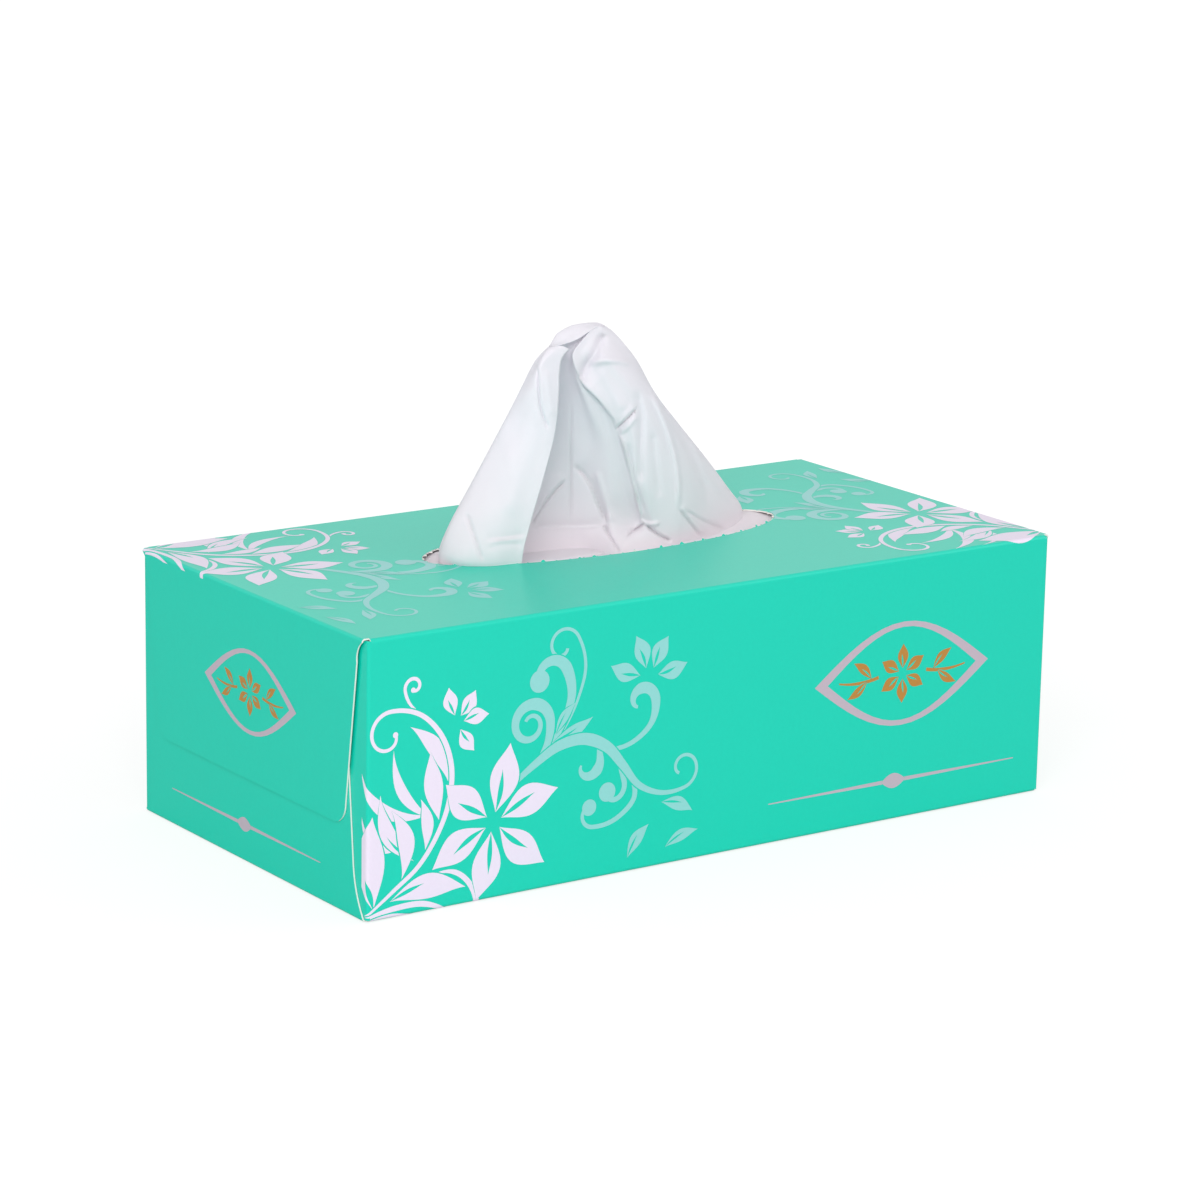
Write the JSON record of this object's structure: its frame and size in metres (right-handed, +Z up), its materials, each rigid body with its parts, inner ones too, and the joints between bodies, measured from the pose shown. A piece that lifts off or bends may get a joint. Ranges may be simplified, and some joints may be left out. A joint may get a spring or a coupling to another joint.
{
  "type": "tissue box",
  "caption": "Rectangular folded carton of facial tissues, with an oval torn opening in its top and one gathered tissue standing out of it.",
  "frame": {"origin": "centre of the carton's underside, which is the bottom centre of the whole object", "axes": "+X along the carton's length, -Y out of the printed front panel, +Z up"},
  "size_m": [0.23, 0.118, 0.1376],
  "materials": {
    "printed_board": "satin",
    "flower_print": "satin",
    "scroll_print": "satin",
    "label_print": "satin",
    "gold_print": "satin",
    "stack_tissue": "matte",
    "folded_tissue": "matte",
    "tissue": "matte"
  },
  "bodies": {
    "root": {"carton": "printed_board", "tissue_stack": "stack_tissue", "next_tissue": "folded_tissue", "pulled_tissue": "tissue"}
  },
  "joints": []
}
